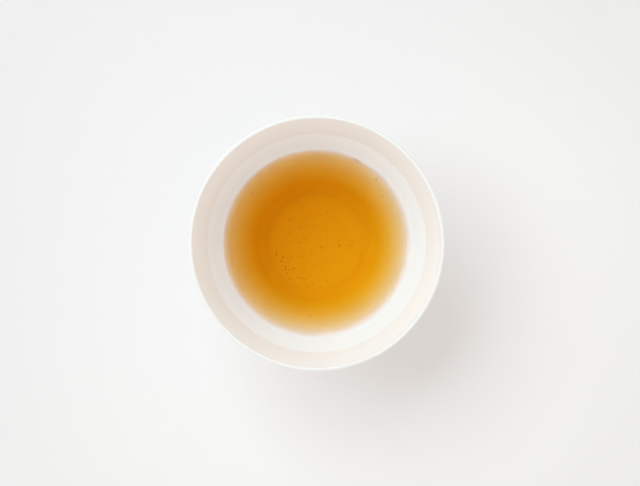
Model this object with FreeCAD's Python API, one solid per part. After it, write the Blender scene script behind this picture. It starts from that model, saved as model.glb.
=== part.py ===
import FreeCAD, Part

import math
import os

# Handleless porcelain tea cup, filled with tea.
# Millimetres, +Z up. The origin is the centre of the foot ring's underside,
# on the cup's axis of revolution. Every surface is turned about +Z.
#
# The cup: a foot ring with a shallow recess, a wide conical body, a crease
# where the wall turns steeper, and a thin rounded lip. The tea fills it to a
# little over half its height and creeps up the wall in a small meniscus.

# ---------------------------------------------------------------- dimensions

# lip
RIM_OUTER_RADIUS = 45.0       # half of the cup's greatest width
LIP_RADIUS = 0.70             # half of the wall's thickness at the lip

# inside of the cup, from the floor upwards
FLOOR_Z = 7.6                 # inner floor above the table
FLOOR_FLAT_RADIUS = 18.0      # flat part of the inner floor
FLOOR_CORNER_RADIUS = 5.0     # round between floor and wall
LOWER_WALL_ANGLE = 60.0       # degrees from the horizontal, below the crease
CREASE_RADIUS_INNER = 39.2    # distance of the inner crease from the axis
UPPER_WALL_ANGLE = 70.4       # degrees from the horizontal, above the crease
INNER_CREASE_ROUND = 4.0      # softening of the inner crease

# outside of the cup
WALL_AT_CREASE = 2.3          # thickness of the wall, square to it, at the crease
OUTER_LOWER_ANGLE = 61.0      # degrees from the horizontal, below the outer crease
OUTER_CREASE_ROUND = 9.0      # softening of the outer crease

# foot ring
FOOT_OUTER_RADIUS = 21.8      # at the table
FOOT_TOP_RADIUS = 22.3        # where the ring meets the body
FOOT_TOP_ROUND = 1.4          # hollow between the ring and the body
FOOT_INNER_RADIUS = 18.6      # recess, at the table
RECESS_TOP_RADIUS = 17.7      # recess, at its ceiling
RECESS_DEPTH = 3.4
FOOT_EDGE_ROUND = 0.55        # rounding of the ring's two lower edges
RECESS_CORNER_ROUND = 1.6     # hollow where the recess meets its ceiling

# tea
TEA_EDGE_RADIUS = 34.1        # where the tea's surface meets the wall
MENISCUS_RISE = 0.90          # height that the tea creeps up the wall
MENISCUS_WIDTH = 3.4          # distance from the wall at which it is flat again

# ------------------------------------------------------------------ geometry


def unit(angle_deg):
    """Unit vector in the (r, z) half plane, by its angle from the horizontal."""
    a = math.radians(angle_deg)
    return (math.cos(a), math.sin(a))


def along(p, d, t):
    return (p[0] + d[0] * t, p[1] + d[1] * t)


def cross_point(p, d, q, e):
    """Where the line through p along d meets the line through q along e."""
    det = d[0] * e[1] - d[1] * e[0]
    t = ((q[0] - p[0]) * e[1] - (q[1] - p[1]) * e[0]) / det
    return along(p, d, t)


def vec(p):
    """A point of the (r, z) half plane as a point of the XZ plane."""
    return FreeCAD.Vector(p[0], 0.0, p[1])


def rounded_outline(corners):
    """Closed wire of straight runs through corners, each (point, radius), with
    a tangent arc of that radius at each corner. Radius 0 keeps it sharp."""
    n = len(corners)
    entry, leave, middle = [], [], []
    for i in range(n):
        (p, r) = corners[i]
        (a, _) = corners[(i - 1) % n]
        (b, _) = corners[(i + 1) % n]
        if r <= 0.0:
            entry.append(p)
            leave.append(p)
            middle.append(None)
            continue
        la = math.hypot(a[0] - p[0], a[1] - p[1])
        lb = math.hypot(b[0] - p[0], b[1] - p[1])
        ua = ((a[0] - p[0]) / la, (a[1] - p[1]) / la)
        ub = ((b[0] - p[0]) / lb, (b[1] - p[1]) / lb)
        opening = math.acos(ua[0] * ub[0] + ua[1] * ub[1])
        setback = r / math.tan(opening / 2.0)
        centre_distance = r / math.sin(opening / 2.0)
        s = (ua[0] + ub[0], ua[1] + ub[1])
        ls = math.hypot(s[0], s[1])
        s = (s[0] / ls, s[1] / ls)
        entry.append(along(p, ua, setback))
        leave.append(along(p, ub, setback))
        middle.append(along(p, s, centre_distance - r))
    edges = []
    for i in range(n):
        if middle[i] is not None:
            edges.append(Part.Arc(vec(entry[i]), vec(middle[i]), vec(leave[i])).toShape())
        j = (i + 1) % n
        a, b = leave[i], entry[j]
        if math.hypot(b[0] - a[0], b[1] - a[1]) > 1e-6:
            edges.append(Part.LineSegment(vec(a), vec(b)).toShape())
    return Part.Wire(edges)


def turned(wire):
    """Solid of revolution about +Z of a closed wire in the XZ plane."""
    solid = Part.Face(wire).revolve(
        FreeCAD.Vector(0, 0, 0), FreeCAD.Vector(0, 0, 1), 360.0
    )
    if solid.ShapeType != "Solid":
        solid = solid.Solids[0]
    return solid


lower = unit(LOWER_WALL_ANGLE)
upper = unit(UPPER_WALL_ANGLE)

# The lower wall, drawn on down to the floor's level, starts where the corner's
# round puts the edge of the flat floor at FLOOR_FLAT_RADIUS.
wall_foot_radius = FLOOR_FLAT_RADIUS + FLOOR_CORNER_RADIUS * math.tan(
    math.radians(LOWER_WALL_ANGLE / 2.0)
)
wall_foot = (wall_foot_radius, FLOOR_Z)


def wall_z(r):
    """Height of the inner lower wall at distance r from the axis."""
    return FLOOR_Z + (r - wall_foot_radius) * math.tan(math.radians(LOWER_WALL_ANGLE))


inner_crease = (CREASE_RADIUS_INNER, wall_z(CREASE_RADIUS_INNER))

# Lip: a round of LIP_RADIUS whose centre stands LIP_RADIUS inside the widest
# point, and which the upper wall touches on its inner side.
lip_centre_r = RIM_OUTER_RADIUS - LIP_RADIUS
upper_normal = (upper[1], -upper[0])
inner_touch_r = lip_centre_r - LIP_RADIUS * upper_normal[0]
inner_touch_z = inner_crease[1] + (inner_touch_r - inner_crease[0]) * math.tan(
    math.radians(UPPER_WALL_ANGLE)
)
inner_touch = (inner_touch_r, inner_touch_z)
lip_centre = along(inner_touch, upper_normal, LIP_RADIUS)
lip_top = (lip_centre[0], lip_centre[1] + LIP_RADIUS)

# Outer crease: square across the wall from the inner one.
mid_angle = math.radians((LOWER_WALL_ANGLE + UPPER_WALL_ANGLE) / 2.0)
outer_crease = (
    inner_crease[0] + WALL_AT_CREASE * math.sin(mid_angle),
    inner_crease[1] - WALL_AT_CREASE * math.cos(mid_angle),
)

# Outer upper wall: from the outer crease, touching the lip's round.
gap = (lip_centre[0] - outer_crease[0], lip_centre[1] - outer_crease[1])
gap_length = math.hypot(gap[0], gap[1])
outer_upper_angle = math.atan2(gap[1], gap[0]) - math.asin(LIP_RADIUS / gap_length)
touch_length = math.sqrt(gap_length ** 2 - LIP_RADIUS ** 2)
outer_touch = along(
    outer_crease,
    (math.cos(outer_upper_angle), math.sin(outer_upper_angle)),
    touch_length,
)

# Outer lower wall: from the outer crease down to the foot ring.
outer_lower = unit(OUTER_LOWER_ANGLE)
foot_top = (
    FOOT_TOP_RADIUS,
    outer_crease[1]
    - (outer_crease[0] - FOOT_TOP_RADIUS) * math.tan(math.radians(OUTER_LOWER_ANGLE)),
)

# ----------------------------------------------------------------------- cup

# One closed outline. The lip's round is cut into two arcs at its top.
body_corners = [
    ((0.0, RECESS_DEPTH), 0.0),
    ((RECESS_TOP_RADIUS, RECESS_DEPTH), RECESS_CORNER_ROUND),
    ((FOOT_INNER_RADIUS, 0.0), FOOT_EDGE_ROUND),
    ((FOOT_OUTER_RADIUS, 0.0), FOOT_EDGE_ROUND),
    (foot_top, FOOT_TOP_ROUND),
    (outer_crease, OUTER_CREASE_ROUND),
    (outer_touch, 0.0),
    (inner_touch, 0.0),
    (inner_crease, INNER_CREASE_ROUND),
    (wall_foot, FLOOR_CORNER_RADIUS),
    ((0.0, FLOOR_Z), 0.0),
]
outline = rounded_outline(body_corners)

# The outline's straight chord between the two touching points becomes the lip.
lip_arc = Part.Arc(vec(outer_touch), vec(lip_top), vec(inner_touch)).toShape()
edges = []
for edge in outline.OrderedEdges:
    ends = [v.Point for v in edge.Vertexes]
    on_chord = all(
        min(e.distanceToPoint(vec(outer_touch)), e.distanceToPoint(vec(inner_touch))) < 1e-5
        for e in ends
    )
    edges.append(lip_arc if on_chord else edge)
cup = turned(Part.Wire(edges))

# ----------------------------------------------------------------------- tea

# It fills the cup up to its own level, on the same floor, corner and wall. At
# the wall its surface rises by MENISCUS_RISE in one arc that starts level.
tea_edge = (TEA_EDGE_RADIUS, wall_z(TEA_EDGE_RADIUS))
tea_level = tea_edge[1] - MENISCUS_RISE
meniscus_start = (TEA_EDGE_RADIUS - MENISCUS_WIDTH, tea_level)
meniscus_radius = (MENISCUS_WIDTH ** 2 + MENISCUS_RISE ** 2) / (2.0 * MENISCUS_RISE)
half_turn = 0.5 * math.asin(MENISCUS_WIDTH / meniscus_radius)
meniscus_mid = (
    meniscus_start[0] + meniscus_radius * math.sin(half_turn),
    meniscus_start[1] + meniscus_radius * (1.0 - math.cos(half_turn)),
)
corner_end = along(wall_foot, lower, FLOOR_CORNER_RADIUS * math.tan(math.radians(LOWER_WALL_ANGLE / 2.0)))
corner_centre = (FLOOR_FLAT_RADIUS, FLOOR_Z + FLOOR_CORNER_RADIUS)
half_lower = math.radians(LOWER_WALL_ANGLE / 2.0)
corner_mid = (
    corner_centre[0] + FLOOR_CORNER_RADIUS * math.sin(half_lower),
    corner_centre[1] - FLOOR_CORNER_RADIUS * math.cos(half_lower),
)
floor_edge = (FLOOR_FLAT_RADIUS, FLOOR_Z)
tea_outline = Part.Wire(
    [
        Part.LineSegment(vec((0.0, FLOOR_Z)), vec(floor_edge)).toShape(),
        Part.Arc(vec(floor_edge), vec(corner_mid), vec(corner_end)).toShape(),
        Part.LineSegment(vec(corner_end), vec(tea_edge)).toShape(),
        Part.Arc(vec(tea_edge), vec(meniscus_mid), vec(meniscus_start)).toShape(),
        Part.LineSegment(vec(meniscus_start), vec((0.0, tea_level))).toShape(),
        Part.LineSegment(vec((0.0, tea_level)), vec((0.0, FLOOR_Z))).toShape(),
    ]
)
tea = turned(tea_outline)

# -------------------------------------------------------------------- output

os.makedirs("parts", exist_ok=True)
for name, shape in (("cup", cup), ("tea", tea)):
    shape.exportStep("parts/%s.step" % name)
    box = shape.BoundBox
    print(
        name,
        shape.ShapeType,
        "valid" if shape.isValid() else "INVALID",
        "closed" if shape.isClosed() else "OPEN",
        "volume %.3f ml" % (shape.Volume / 1000.0),
        "x %.3f..%.3f z %.3f..%.3f" % (box.XMin, box.XMax, box.ZMin, box.ZMax),
    )
print("common volume of cup and tea: %.6f ml" % (cup.common(tea).Volume / 1000.0))
print("inner crease (%.3f, %.3f)  outer crease (%.3f, %.3f)" % (inner_crease + outer_crease))
print("inner lip touch (%.3f, %.3f)  outer lip touch (%.3f, %.3f)  rim top %.3f" % (inner_touch + outer_touch + (lip_top[1],)))
print("outer upper wall %.2f degrees, foot top z %.3f" % (math.degrees(outer_upper_angle), foot_top[1]))
print("tea level %.3f, edge %.3f, depth %.3f" % (tea_level, tea_edge[1], tea_level - FLOOR_Z))
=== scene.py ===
import math
import random

import bpy
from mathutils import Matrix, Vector


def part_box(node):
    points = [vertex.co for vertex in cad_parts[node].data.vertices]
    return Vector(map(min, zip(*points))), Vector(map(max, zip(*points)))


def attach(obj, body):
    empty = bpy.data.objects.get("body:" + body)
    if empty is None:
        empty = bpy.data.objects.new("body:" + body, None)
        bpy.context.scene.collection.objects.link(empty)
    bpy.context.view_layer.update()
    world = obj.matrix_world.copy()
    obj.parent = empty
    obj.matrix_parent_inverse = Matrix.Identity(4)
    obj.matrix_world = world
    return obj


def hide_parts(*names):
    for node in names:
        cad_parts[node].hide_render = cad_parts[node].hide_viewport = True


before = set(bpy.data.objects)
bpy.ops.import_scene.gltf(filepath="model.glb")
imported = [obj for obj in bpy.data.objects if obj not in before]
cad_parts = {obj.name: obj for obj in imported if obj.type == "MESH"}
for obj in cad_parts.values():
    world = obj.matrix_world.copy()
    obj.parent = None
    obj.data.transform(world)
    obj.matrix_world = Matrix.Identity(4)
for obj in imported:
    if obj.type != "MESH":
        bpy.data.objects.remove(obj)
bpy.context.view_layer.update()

MM = 0.001

# ---------------------------------------------------------------- the frame
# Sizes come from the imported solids; the few angles and rounds below repeat the
# cup's construction (metres).

cup_lo, cup_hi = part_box("cup")
tea_lo, tea_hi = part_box("tea")
RIM_R = cup_hi.x                     # outer radius of the lip
RIM_Z = cup_hi.z                     # top of the lip
FLOOR_Z = tea_lo.z                   # the cup's inner floor
TEA_EDGE_R = tea_hi.x                # where the tea meets the wall
TEA_EDGE_Z = tea_hi.z
WALL_ANGLE = math.radians(60.0)      # inner lower wall, from the horizontal
CORNER_R = 5.0 * MM                  # round between floor and wall
FLAT_R = 18.0 * MM                   # flat part of the inner floor
MENISCUS_RISE = 0.9 * MM
MENISCUS_FALL = 1.5 * MM             # distance over which the raised edge dies out
TEA_Z = TEA_EDGE_Z - MENISCUS_RISE   # level of the tea's flat surface
WALL_FOOT_R = FLAT_R + CORNER_R * math.tan(WALL_ANGLE / 2)

# ------------------------------------------------------------------ helpers


def new_object(name, verts, faces, smooth=True):
    mesh = bpy.data.meshes.new(name)
    mesh.from_pydata(verts, [], faces)
    mesh.validate()
    mesh.update()
    if smooth:
        mesh.polygons.foreach_set("use_smooth", [True] * len(mesh.polygons))
    obj = bpy.data.objects.new(name, mesh)
    bpy.context.scene.collection.objects.link(obj)
    return obj


def lathe(name, profile, segments):
    """Closed surface of revolution about +Z. profile runs from the axis to the
    axis, as (r, z); its first and last points have r = 0."""
    verts = [(0.0, 0.0, profile[0][1])]
    rings = []
    for r, z in profile[1:-1]:
        rings.append(len(verts))
        for s in range(segments):
            a = 2 * math.pi * s / segments
            verts.append((r * math.cos(a), r * math.sin(a), z))
    last = len(verts)
    verts.append((0.0, 0.0, profile[-1][1]))
    faces = []
    for s in range(segments):
        t = (s + 1) % segments
        faces.append((0, rings[0] + s, rings[0] + t))
        for a, b in zip(rings, rings[1:]):
            faces.append((a + s, b + s, b + t, a + t))
        faces.append((rings[-1] + s, last, rings[-1] + t))
    return new_object(name, verts, faces)


class Nodes:
    """Short hand for building a node tree."""

    def __init__(self, tree):
        self.tree = tree
        tree.nodes.clear()

    def add(self, kind, inputs=None, **props):
        node = self.tree.nodes.new(kind)
        for k, v in props.items():
            setattr(node, k, v)
        for k, v in (inputs or {}).items():
            if isinstance(v, bpy.types.NodeSocket):
                self.tree.links.new(v, node.inputs[k])
            else:
                node.inputs[k].default_value = v
        return node

    def math(self, op, a, b=None, c=None, clamp=False):
        given = {0: a}
        if b is not None:
            given[1] = b
        if c is not None:
            given[2] = c
        return self.add("ShaderNodeMath", given, operation=op, use_clamp=clamp).outputs[0]

    def ramp(self, fac, stops, interpolation="LINEAR"):
        node = self.add("ShaderNodeValToRGB", {"Fac": fac})
        node.color_ramp.interpolation = interpolation
        els = node.color_ramp.elements
        while len(els) < len(stops):
            els.new(0.5)
        for el, (pos, col) in zip(els, stops):
            el.position = pos
            el.color = tuple(col) + (1.0,) if len(col) == 3 else tuple(col)
        return node.outputs["Color"]

    def smooth_step(self, value, low, high, to_low=0.0, to_high=1.0):
        return self.add(
            "ShaderNodeMapRange",
            {"Value": value, "From Min": low, "From Max": high, "To Min": to_low, "To Max": to_high},
            interpolation_type="SMOOTHSTEP",
        ).outputs["Result"]

    def mix(self, fac, a, b, blend="MIX"):
        node = self.add("ShaderNodeMix", data_type="RGBA", blend_type=blend)
        for key, v in (("Factor", fac), ("A", a), ("B", b)):
            sockets = [s for s in node.inputs if s.name == key and s.enabled]
            if isinstance(v, bpy.types.NodeSocket):
                self.tree.links.new(v, sockets[0])
            else:
                sockets[0].default_value = v
        return [s for s in node.outputs if s.enabled][0]


def new_material(name):
    mat = bpy.data.materials.new(name)
    mat.use_nodes = True
    return mat, Nodes(mat.node_tree)


# ----------------------------------------------------------------- settings

PORCELAIN = (0.902, 0.925, 0.919)
# painted shade: how much the glaze's colour is darkened over the lip
LIP_PAINTED_SHADE = (0.905, 0.858, 0.838)
BISCUIT = (0.74, 0.71, 0.66)
FLOOR_COLOR = (0.836, 0.798, 0.794)  
FLOOR_PAINTED_FALLOFF = 0.055                   # painted shade: share of its brightness that the floor's colour loses at the radius below, darkening outwards from the cup
FLOOR_PAINTED_FALLOFF_R = 0.111
FLOOR_PAINTED_LIGHT_SIDE = 302.0                  # painted light: the side, where the cup's shadow falls, on which the floor is painted a little paler; it is painted a little darker on the other side

TEA_ABSORB = (1.7, 20.0, 84.0)      # absorption per metre, in red, green and blue
TEA_BEND = 1.05                      # refraction at the tea's surface
# What the tea's finer colour adds to the porcelain under it, by depth below
# the tea's edge in mm: a share of the light that it takes from each channel.
STAIN = [
    (0.0, (1.00, 1.00, 1.00)),
    (4.0, (1.00, 1.00, 1.00)),
    (9.0, (0.98, 1.00, 0.98)),
    (13.5, (0.965, 1.00, 0.66)),
    (16.0, (0.95, 1.00, 0.45)),
    (18.7, (0.935, 0.985, 0.27)),
    (23.0, (0.92, 0.97, 0.20)),
]
# Painted shade: the tint under the tea is deepened on the side towards the key light, which the cup's rim shades.
PAINTED_SHADE = (0.985, 0.87, 0.55)
PAINTED_SHADE_DIRECTION = 138.0              # degrees anticlockwise from +X
PAINTED_SHADE_SPREAD = 24.0 * MM
PAINTED_WARM_LIGHT = (1.055, 1.0, 1.0)             # painted warm light: red raised in the porcelain under the tea, showing most at its margin, standing in for light scattered in the tea
WATERLINE_PAINTED_LIGHT = 1.05                    # painted light: how much brighter the glaze is painted in a band just above the waterline, standing in for light that the tea's surface reflects onto the wall
WATERLINE_PAINTED_WIDTH = 3.4 * MM
# A soft darker ring where the flat floor turns up into the wall.
CORNER_RING = (0.955, 0.90, 0.80)
CORNER_RING_R = 18.9 * MM
CORNER_RING_WIDTH = 1.9 * MM

KEY_DIRECTION = 138.0                # degrees anticlockwise from +X, as seen from above
KEY_ELEVATION = 53.0
KEY_DISTANCE = 1.6
KEY_WIDTH = 1.5
KEY_HEIGHT = 1.0
KEY_POWER = 13.88
KEY_COLOR = (0.819, 1.0, 1.074)
WORLD_COLOR = (0.803, 0.787, 0.757)
WORLD_STRENGTH = 1.0
WORLD_LOW = 0.62                     # how much brighter the studio is low down on one side
WORLD_LOW_DIRECTION = 310.0          # that side, in degrees anticlockwise from +X
BACKDROP = (0.66, 0.66, 0.655)       # the studio as the camera sees it directly

# --------------------------------------------------------------------- stage

floor_size = 4.0
n = 24
fverts = [
    (-floor_size + 2 * floor_size * i / n, -floor_size + 2 * floor_size * j / n, 0.0)
    for j in range(n + 1)
    for i in range(n + 1)
]
ffaces = [
    (j * (n + 1) + i, j * (n + 1) + i + 1, (j + 1) * (n + 1) + i + 1, (j + 1) * (n + 1) + i)
    for j in range(n)
    for i in range(n)
]
floor = new_object("floor", fverts, ffaces)
mat, N = new_material("stage_floor")
coords = N.add("ShaderNodeTexCoord")
grain = N.add("ShaderNodeTexNoise", {"Vector": coords.outputs["Object"], "Scale": 60.0, "Detail": 3.0})
tone = N.math("MULTIPLY_ADD", grain.outputs["Fac"], 0.012, 0.994)
fxyz = N.add("ShaderNodeSeparateXYZ", {"Vector": coords.outputs["Object"]})
# painted shade: the floor's colour darkens outwards from the cup
away = N.math("ADD", N.math("MULTIPLY", fxyz.outputs[0], fxyz.outputs[0]), N.math("MULTIPLY", fxyz.outputs[1], fxyz.outputs[1]))
away = N.math("MINIMUM", away, (1.25 * FLOOR_PAINTED_FALLOFF_R) ** 2)
tone = N.math("MULTIPLY", tone, N.math("MULTIPLY_ADD", away, -FLOOR_PAINTED_FALLOFF / FLOOR_PAINTED_FALLOFF_R**2, 1.0))
# painted light on the floor: paler on the side of the cup's shadow, darker on the other side
along = N.math(
    "ADD",
    N.math("MULTIPLY", fxyz.outputs[0], math.cos(math.radians(FLOOR_PAINTED_LIGHT_SIDE))),
    N.math("MULTIPLY", fxyz.outputs[1], math.sin(math.radians(FLOOR_PAINTED_LIGHT_SIDE))),
)
tone = N.math("MULTIPLY", tone, N.smooth_step(along, -0.075, 0.065, 0.975, 1.030))
color = N.add("ShaderNodeVectorMath", {0: FLOOR_COLOR, 3: tone}, operation="SCALE")
shader = N.add(
    "ShaderNodeBsdfPrincipled",
    {"Base Color": color.outputs[0], "Roughness": 0.75, "Specular IOR Level": 0.25},
)
N.add("ShaderNodeOutputMaterial", {"Surface": shader.outputs[0]})
floor.data.materials.append(mat)

# ----------------------------------------------------------------- porcelain

mat, N = new_material("white_glazed_porcelain")
coords = N.add("ShaderNodeTexCoord")
xyz = N.add("ShaderNodeSeparateXYZ", {"Vector": coords.outputs["Object"]})
x, y, z = xyz.outputs[0], xyz.outputs[1], xyz.outputs[2]
radius = N.math("SQRT", N.math("ADD", N.math("MULTIPLY", x, x), N.math("MULTIPLY", y, y)))

# Inside of the cup: nearer the axis than the inner wall's line plus half the
# wall, and above the recess.
wall_r = N.math("MULTIPLY_ADD", N.math("SUBTRACT", z, FLOOR_Z), 1 / math.tan(WALL_ANGLE), WALL_FOOT_R + 1.3 * MM)
inside = N.math("MULTIPLY", N.math("LESS_THAN", radius, wall_r), N.math("GREATER_THAN", z, FLOOR_Z - 0.6 * MM))
depth_mm = N.math("MULTIPLY", N.math("SUBTRACT", TEA_EDGE_Z, z), 1000.0)
deepest = STAIN[-1][0]
stain_and_painted_light = N.ramp(
    N.math("DIVIDE", depth_mm, deepest, clamp=True),
    [(d / deepest, c) for d, c in STAIN],
)
# painted warm light: red raised in the porcelain under all the tea
stain_and_painted_light = N.mix(1.0, stain_and_painted_light, tuple(PAINTED_WARM_LIGHT) + (1.0,), "MULTIPLY")
# painted shade: deeper tint under the tea on the side towards the key light, fading in below the waterline
across = N.math(
    "ADD",
    N.math("MULTIPLY", x, math.cos(math.radians(PAINTED_SHADE_DIRECTION))),
    N.math("MULTIPLY", y, math.sin(math.radians(PAINTED_SHADE_DIRECTION))),
)
painted_shade_side = N.math("MULTIPLY", N.smooth_step(across, -PAINTED_SHADE_SPREAD, PAINTED_SHADE_SPREAD), N.smooth_step(depth_mm, -0.6, 2.8))
stain_and_painted_light = N.mix(painted_shade_side, stain_and_painted_light, N.mix(1.0, stain_and_painted_light, tuple(PAINTED_SHADE) + (1.0,), "MULTIPLY"))
# the soft darker ring where the floor turns up into the wall
off_ring = N.math("DIVIDE", N.math("SUBTRACT", radius, CORNER_RING_R), CORNER_RING_WIDTH)
ring = N.math("POWER", 2.718, N.math("MULTIPLY", N.math("MULTIPLY", off_ring, off_ring), -1.0))
stain_and_painted_light = N.mix(ring, stain_and_painted_light, N.mix(1.0, stain_and_painted_light, tuple(CORNER_RING) + (1.0,), "MULTIPLY"))
under_tea = N.math("MULTIPLY", inside, N.math("GREATER_THAN", depth_mm, 0.0))

# The glaze: very slightly uneven in thickness, so in tone and gloss.
broad = N.add("ShaderNodeTexNoise", {"Vector": coords.outputs["Object"], "Scale": 38.0, "Detail": 2.0})
fine = N.add("ShaderNodeTexNoise", {"Vector": coords.outputs["Object"], "Scale": 420.0, "Detail": 3.0})
glaze = N.ramp(
    broad.outputs["Fac"],
    [(0.3, [c * 0.992 for c in PORCELAIN]), (0.7, [min(1.0, c * 1.006) for c in PORCELAIN])],
)
glaze = N.mix(under_tea, glaze, N.mix(1.0, glaze, stain_and_painted_light, "MULTIPLY"))
# painted light: a band of brighter glaze just above the waterline, standing in for light reflected off the tea's
# surface
margin = N.math("MULTIPLY", N.smooth_step(z, TEA_EDGE_Z, TEA_EDGE_Z + WATERLINE_PAINTED_WIDTH, 1.0, 0.0), N.math("GREATER_THAN", z, TEA_EDGE_Z))
margin = N.math("MULTIPLY", margin, inside)
glaze = N.add(
    "ShaderNodeVectorMath", {0: glaze, 3: N.math("MULTIPLY_ADD", margin, WATERLINE_PAINTED_LIGHT - 1.0, 1.0)}, operation="SCALE"
).outputs[0]

# Painted shade over the lip: the glaze's colour is darkened there, as the lip faces the light and would otherwise
# come out too bright.
lip = N.smooth_step(z, RIM_Z - 1.3 * MM, RIM_Z - 0.5 * MM)
glaze = N.mix(lip, glaze, N.mix(1.0, glaze, tuple(LIP_PAINTED_SHADE) + (1.0,), "MULTIPLY"))

# The foot ring's resting face is bare biscuit, ground smooth.
bare = N.smooth_step(z, 0.55 * MM, 0.9 * MM, 1.0, 0.0)
sand = N.add("ShaderNodeTexNoise", {"Vector": coords.outputs["Object"], "Scale": 2600.0, "Detail": 4.0})
biscuit = N.ramp(
    sand.outputs["Fac"],
    [(0.25, [c * 0.88 for c in BISCUIT]), (0.75, [min(1.0, c * 1.08) for c in BISCUIT])],
)
base = N.mix(bare, glaze, biscuit)

gloss = N.math("MULTIPLY_ADD", fine.outputs["Fac"], 0.05, 0.09)
gloss = N.math("ADD", gloss, N.math("MULTIPLY", under_tea, 0.35))
gloss = N.math("ADD", gloss, N.math("MULTIPLY", lip, 0.45))
gloss = N.math("ADD", gloss, N.math("MULTIPLY", bare, 0.6), clamp=True)
height = N.math("ADD", N.math("MULTIPLY", broad.outputs["Fac"], 0.6), N.math("MULTIPLY", sand.outputs["Fac"], N.math("MULTIPLY", bare, 0.02)))
bump = N.add("ShaderNodeBump", {"Height": height, "Strength": 0.12, "Distance": 0.0006})
shader = N.add(
    "ShaderNodeBsdfPrincipled",
    {"Base Color": base, "Roughness": gloss, "IOR": 1.5, "Normal": bump.outputs[0]},
)
N.add("ShaderNodeOutputMaterial", {"Surface": shader.outputs[0]})
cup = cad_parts["cup"]
cup.data.materials.clear()
cup.data.materials.append(mat)
for poly in cup.data.polygons:
    poly.material_index = 0

# ----------------------------------------------------------------------- tea

INTO_WALL = 0.25 * MM
profile = [(0.0, TEA_Z)]
steps = 26
for i in range(1, steps + 1):
    r = (TEA_EDGE_R - 6 * MM) * i / steps
    profile.append((r, TEA_Z))
steps = 30
for i in range(1, steps + 1):
    gap = 6 * MM * (1 - i / steps)
    profile.append((TEA_EDGE_R - gap, TEA_Z + MENISCUS_RISE * math.exp(-gap / MENISCUS_FALL)))
nx, nz = math.sin(WALL_ANGLE), -math.cos(WALL_ANGLE)
start = (TEA_EDGE_R + 0.30 * MM, TEA_EDGE_Z + 0.10 * MM)
profile.append(start)
foot = (
    FLAT_R + (CORNER_R + INTO_WALL) * nx,
    FLOOR_Z + CORNER_R + (CORNER_R + INTO_WALL) * nz,
)
steps = 24
for i in range(1, steps + 1):
    f = i / steps
    top = (TEA_EDGE_R + INTO_WALL * nx, TEA_EDGE_Z + INTO_WALL * nz)
    if i == 1:
        profile.append(top)
    profile.append((top[0] + (foot[0] - top[0]) * f, top[1] + (foot[1] - top[1]) * f))
steps = 10
for i in range(1, steps + 1):
    a = WALL_ANGLE * (1 - i / steps)
    profile.append(
        (
            FLAT_R + (CORNER_R + INTO_WALL) * math.sin(a),
            FLOOR_Z + CORNER_R - (CORNER_R + INTO_WALL) * math.cos(a),
        )
    )
steps = 10
for i in range(1, steps):
    profile.append((FLAT_R * (1 - i / steps), FLOOR_Z - INTO_WALL))
profile.append((0.0, FLOOR_Z - INTO_WALL))
# From the top down the surface faces outwards with the points in this order.
tea = lathe("tea_liquid", profile, 192)
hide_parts("tea")
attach(tea, "root")

mat, N = new_material("amber_tea")
coords = N.add("ShaderNodeTexCoord")
ripple = N.add("ShaderNodeTexNoise", {"Vector": coords.outputs["Object"], "Scale": 55.0, "Detail": 1.0})
bump = N.add("ShaderNodeBump", {"Height": ripple.outputs["Fac"], "Strength": 0.02, "Distance": 0.0004})
shader = N.add(
    "ShaderNodeBsdfPrincipled",
    {
        "Base Color": (1.0, 1.0, 1.0, 1.0),
        "Roughness": 0.0,
        "IOR": TEA_BEND,
        "Transmission Weight": 1.0,
        "Coat Weight": 1.0,
        "Coat Roughness": 0.0,
        "Coat IOR": 1.333,
        "Normal": bump.outputs[0],
        "Coat Normal": bump.outputs[0],
    },
)
strongest = max(TEA_ABSORB)
volume = N.add(
    "ShaderNodeVolumeAbsorption",
    {
        "Color": tuple(1.0 - a / strongest for a in TEA_ABSORB) + (1.0,),
        "Density": strongest,
    },
)
N.add("ShaderNodeOutputMaterial", {"Surface": shader.outputs[0], "Volume": volume.outputs[0]})
tea.data.materials.append(mat)

# ------------------------------------------------------------ specks of leaf
# Fine dust from the leaves. It sinks and gathers near the edge of the flat
# floor; a few grains float. Angles are in degrees anticlockwise from +X.

rng = random.Random(7)


def grain_mesh(verts, faces, centre, size, flat, shape_rng):
    """Adds one small irregular flake: a ball of 8 x 5 points, each moved in or
    out, flattened and turned at random."""
    cols, rows = 8, 5
    spin, tilt = shape_rng.uniform(0, 2 * math.pi), shape_rng.uniform(-0.35, 0.35)
    long = shape_rng.uniform(1.0, 1.35)
    base_i = len(verts)
    for j in range(rows + 2):
        polar = math.pi * j / (rows + 1)
        count = 1 if j in (0, rows + 1) else cols
        for i in range(count):
            a = 2 * math.pi * i / cols
            f = shape_rng.uniform(0.72, 1.12)
            px = f * math.sin(polar) * math.cos(a) * long * size / 2
            py = f * math.sin(polar) * math.sin(a) * size / 2
            pz = f * math.cos(polar) * flat * size / 2
            py, pz = py * math.cos(tilt) - pz * math.sin(tilt), py * math.sin(tilt) + pz * math.cos(tilt)
            px, py = px * math.cos(spin) - py * math.sin(spin), px * math.sin(spin) + py * math.cos(spin)
            verts.append((centre[0] + px, centre[1] + py, centre[2] + pz))
    top, bottom = base_i, len(verts) - 1

    def at(j, i):
        return base_i + 1 + (j - 1) * cols + i % cols

    for i in range(cols):
        faces.append((top, at(1, i), at(1, i + 1)))
        for j in range(1, rows):
            faces.append((at(j, i), at(j + 1, i), at(j + 1, i + 1), at(j, i + 1)))
        faces.append((at(rows, i), bottom, at(rows, i + 1)))


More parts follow.
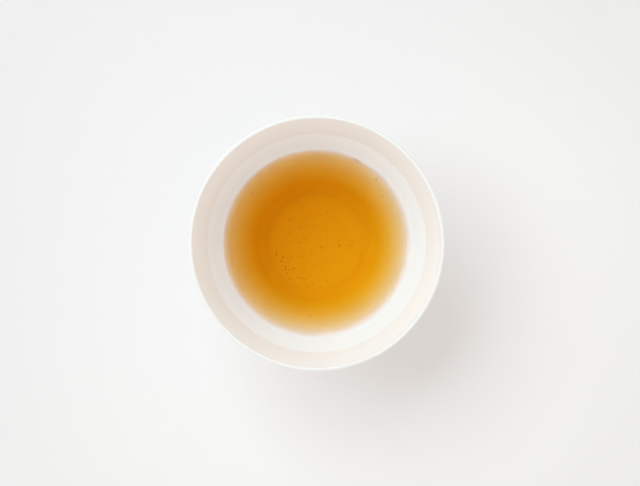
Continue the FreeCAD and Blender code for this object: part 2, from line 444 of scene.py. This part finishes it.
GRAINS = [
    # angle, distance from the axis in mm, size in mm
    (4, 13.5, 0.38), (55, 1.7, 0.36), (73, 12.1, 0.38), (85, 10.5, 0.33), (111, 15.6, 0.31),
    (114, 10.6, 0.31), (116, 17.3, 0.32), (137, 8.6, 0.38), (138, 13.4, 0.36), (140, 14.0, 0.31), (157, 5.5, 0.33),
    (159, 11.1, 0.33), (178, 6.2, 0.33), (192, 15.6, 0.42), (196, 15.9, 0.36), (203, 13.8, 0.42), (207, 15.1, 0.36),
    (217, 14.8, 0.33), (220, 15.5, 0.36), (221, 7.7, 0.31), (224, 14.4, 0.31), (225, 15.8, 0.31),
    (227, 13.1, 0.42), (246, 14.6, 0.42), (251, 14.6, 0.33), (259, 17.1, 0.33), (264, 15.8, 0.36), (275, 16.5, 0.33),
    (284, 14.6, 0.31), (316, 2.4, 0.42), (345, 17.0, 0.38), (354, 8.6, 0.46), (356, 12.7, 0.38),
    (26, 17.2, 0.32),
]
FLOATING = [(265, 26.5), (206, 28.6), (35, 29.4), (47, 31.8), (142, 29.6)]

verts, faces = [], []
grains = list(GRAINS)
for _ in range(26):
    grains.append((rng.uniform(0, 360), 17.0 * math.sqrt(rng.random()), rng.uniform(0.22, 0.30)))
for angle, r, size in grains:
    r = min(r, 17.6)
    a = math.radians(angle)
    grain_mesh(
        verts, faces,
        (r * MM * math.cos(a), r * MM * math.sin(a), FLOOR_Z + (0.30 * size + 0.02) * MM),
        size * MM, 0.55, rng,
    )
for angle, r in FLOATING:
    a = math.radians(angle)
    gap = TEA_EDGE_R - r * MM
    level = TEA_Z + MENISCUS_RISE * math.exp(-gap / MENISCUS_FALL)
    grain_mesh(verts, faces, (r * MM * math.cos(a), r * MM * math.sin(a), level), rng.uniform(0.30, 0.36) * MM, 0.5, rng)
specks = new_object("tea_leaf_specks", verts, faces)
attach(specks, "root")
mat, N = new_material("tea_leaf_dust")
coords = N.add("ShaderNodeTexCoord")
tone = N.add("ShaderNodeTexNoise", {"Vector": coords.outputs["Object"], "Scale": 3500.0, "Detail": 2.0})
color = N.ramp(tone.outputs["Fac"], [(0.3, (0.20, 0.055, 0.012)), (0.7, (0.34, 0.10, 0.025))])
shader = N.add("ShaderNodeBsdfPrincipled", {"Base Color": color, "Roughness": 0.7})
N.add("ShaderNodeOutputMaterial", {"Surface": shader.outputs[0]})
specks.data.materials.append(mat)

# ------------------------------------------------------------- tiny bubbles
# A few bubbles that cling where the tea meets the wall.

BUBBLES = [(65.2, 33.55, 0.52), (63.8, 33.60, 0.40), (62.6, 33.35, 0.56), (64.6, 32.75, 0.34), (45.2, 33.50, 0.46), (46.6, 32.9, 0.30)]


def ball(verts, faces, centre, radius, cols=20, rows=10):
    base_i = len(verts)
    for j in range(rows + 1):
        polar = math.pi * j / rows
        for i in range(1 if j in (0, rows) else cols):
            a = 2 * math.pi * i / cols
            verts.append(
                (
                    centre[0] + radius * math.sin(polar) * math.cos(a),
                    centre[1] + radius * math.sin(polar) * math.sin(a),
                    centre[2] + radius * math.cos(polar),
                )
            )
    last = len(verts) - 1

    def at(j, i):
        return base_i + 1 + (j - 1) * cols + i % cols

    for i in range(cols):
        faces.append((base_i, at(1, i), at(1, i + 1)))
        for j in range(1, rows - 1):
            faces.append((at(j, i), at(j + 1, i), at(j + 1, i + 1), at(j, i + 1)))
        faces.append((at(rows - 1, i), last, at(rows - 1, i + 1)))


verts, faces = [], []
for angle, r, size in BUBBLES:
    a = math.radians(angle)
    gap = TEA_EDGE_R - r * MM
    level = TEA_Z + MENISCUS_RISE * math.exp(-gap / MENISCUS_FALL)
    ball(verts, faces, (r * MM * math.cos(a), r * MM * math.sin(a), level + 0.1 * size * MM), size / 2 * MM)
bubbles = new_object("edge_bubbles", verts, faces)
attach(bubbles, "root")
mat, N = new_material("bubble_film")
coords = N.add("ShaderNodeTexCoord")
tone = N.add("ShaderNodeTexNoise", {"Vector": coords.outputs["Object"], "Scale": 900.0, "Detail": 1.0})
color = N.ramp(tone.outputs["Fac"], [(0.3, (0.95, 0.80, 0.62)), (0.7, (1.0, 0.90, 0.76))])
shader = N.add(
    "ShaderNodeBsdfPrincipled",
    {"Base Color": color, "Roughness": 0.0, "IOR": 1.333, "Transmission Weight": 1.0},
)
N.add("ShaderNodeOutputMaterial", {"Surface": shader.outputs[0]})
bubbles.data.materials.append(mat)

# ------------------------------------------------------------------- lights

d = Vector(
    (
        math.cos(math.radians(KEY_DIRECTION)) * math.cos(math.radians(KEY_ELEVATION)),
        math.sin(math.radians(KEY_DIRECTION)) * math.cos(math.radians(KEY_ELEVATION)),
        math.sin(math.radians(KEY_ELEVATION)),
    )
)
key = bpy.data.lights.new("key", "AREA")
key.shape = "RECTANGLE"
key.size = KEY_WIDTH
key.size_y = KEY_HEIGHT
key.energy = KEY_POWER
key.color = KEY_COLOR
key_obj = bpy.data.objects.new("key", key)
key_obj.location = d * KEY_DISTANCE
key_obj.rotation_euler = d.to_track_quat("Z", "Y").to_euler()
bpy.context.scene.collection.objects.link(key_obj)

world = bpy.data.worlds.new("studio")
world.use_nodes = True
W = Nodes(world.node_tree)
wc = W.add("ShaderNodeTexCoord")
wdir = W.add("ShaderNodeSeparateXYZ", {"Vector": wc.outputs["Generated"]})
up = wdir.outputs[2]
side = W.math(
    "ADD",
    W.math("MULTIPLY", wdir.outputs[0], 0.5 * math.cos(math.radians(WORLD_LOW_DIRECTION))),
    W.math("MULTIPLY", wdir.outputs[1], 0.5 * math.sin(math.radians(WORLD_LOW_DIRECTION))),
)
low = W.math("MULTIPLY", W.smooth_step(up, 0.35, 0.70, WORLD_LOW, 0.0), W.math("ADD", side, 0.5))
level = W.math("ADD", low, 1.0)
level = W.math("MULTIPLY", level, W.smooth_step(up, 0.955, 0.985, 1.0, 0.06))
wcol = W.add("ShaderNodeVectorMath", {0: WORLD_COLOR, 3: level}, operation="SCALE")
seen = W.add("ShaderNodeLightPath")
wcol = W.mix(seen.outputs["Is Camera Ray"], wcol.outputs[0], tuple(BACKDROP) + (1.0,))
bg = W.add("ShaderNodeBackground", {"Color": wcol, "Strength": WORLD_STRENGTH})
W.add("ShaderNodeOutputWorld", {"Surface": bg.outputs[0]})
bpy.context.scene.world = world

# ------------------------------------------------------------------- camera

VIEW_HEIGHT = 0.550                  # above the rim
VIEW_WIDTH = 0.22445                 # width of the view at the rim's height
cam = bpy.data.cameras.new("camera")
cam.sensor_fit = "HORIZONTAL"
cam.sensor_width = 36.0
cam.lens = 36.0 * VIEW_HEIGHT / VIEW_WIDTH
cam.clip_start = 0.01
cam.clip_end = 50.0
cam_obj = bpy.data.objects.new("camera", cam)
cam_obj.location = (1.157 * MM, 0.035 * MM, RIM_Z + VIEW_HEIGHT)
cam_obj.rotation_euler = (0.0, 0.0, 0.0)
bpy.context.scene.collection.objects.link(cam_obj)
bpy.context.scene.camera = cam_obj

# Light bounces many times inside a white cup.
cycles = bpy.context.scene.cycles
cycles.max_bounces = 28
cycles.diffuse_bounces = 14
cycles.glossy_bounces = 12
cycles.transmission_bounces = 24

view = bpy.context.scene.view_settings
view.view_transform = "Standard"
view.look = "None"
view.exposure = 0.0
view.gamma = 1.0

# ------------------------------------------------------------------- finish

bpy.context.view_layer.update()
